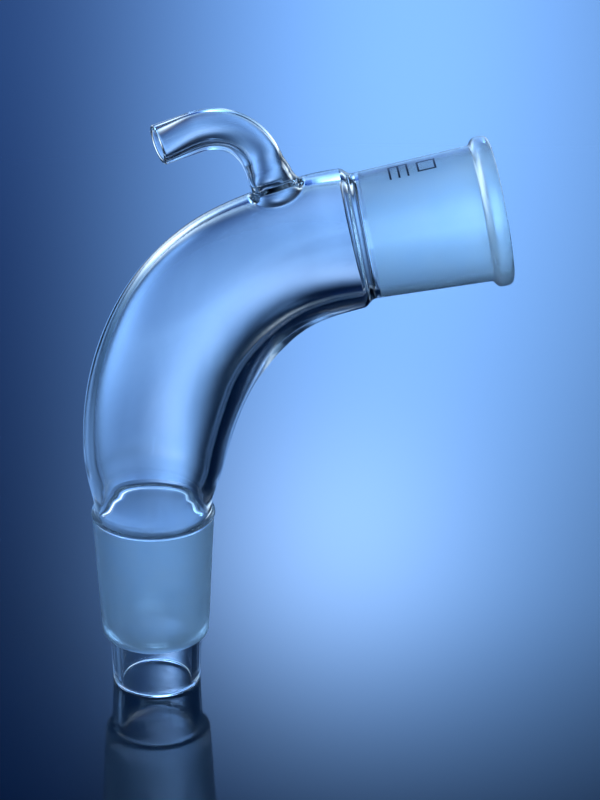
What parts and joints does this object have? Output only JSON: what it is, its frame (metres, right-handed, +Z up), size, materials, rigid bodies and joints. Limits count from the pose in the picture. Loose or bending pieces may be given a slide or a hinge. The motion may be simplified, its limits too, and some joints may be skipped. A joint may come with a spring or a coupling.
{
  "type": "vacuum receiver adapter",
  "caption": "Bent borosilicate vacuum receiver adapter: ground socket above, swollen curved body with a bent vacuum side arm, ground cone and drip tip below.",
  "frame": {"origin": "centre of the ground cone's wide end, on the cone's axis", "axes": "+Z up the cone's axis into the body, +X towards the side the socket points to, +Y to the back"},
  "size_m": [0.101, 0.0378, 0.1483],
  "materials": {
    "clear_glass": "clear, fire-polished",
    "ground_cone": "ground matt on the outside",
    "ground_socket": "ground matt in the bore, clear outside",
    "enamel": "fired-on dark enamel"
  },
  "bodies": {
    "root": {"socket_joint": "ground_socket", "socket_seam": "clear_glass", "bent_body": "clear_glass", "side_arm_seam": "clear_glass", "side_arm": "clear_glass", "cone_seam": "clear_glass", "cone_joint": "ground_cone", "drip_tip": "clear_glass", "frame_mark": "enamel", "bar_mark": "enamel"}
  },
  "joints": []
}
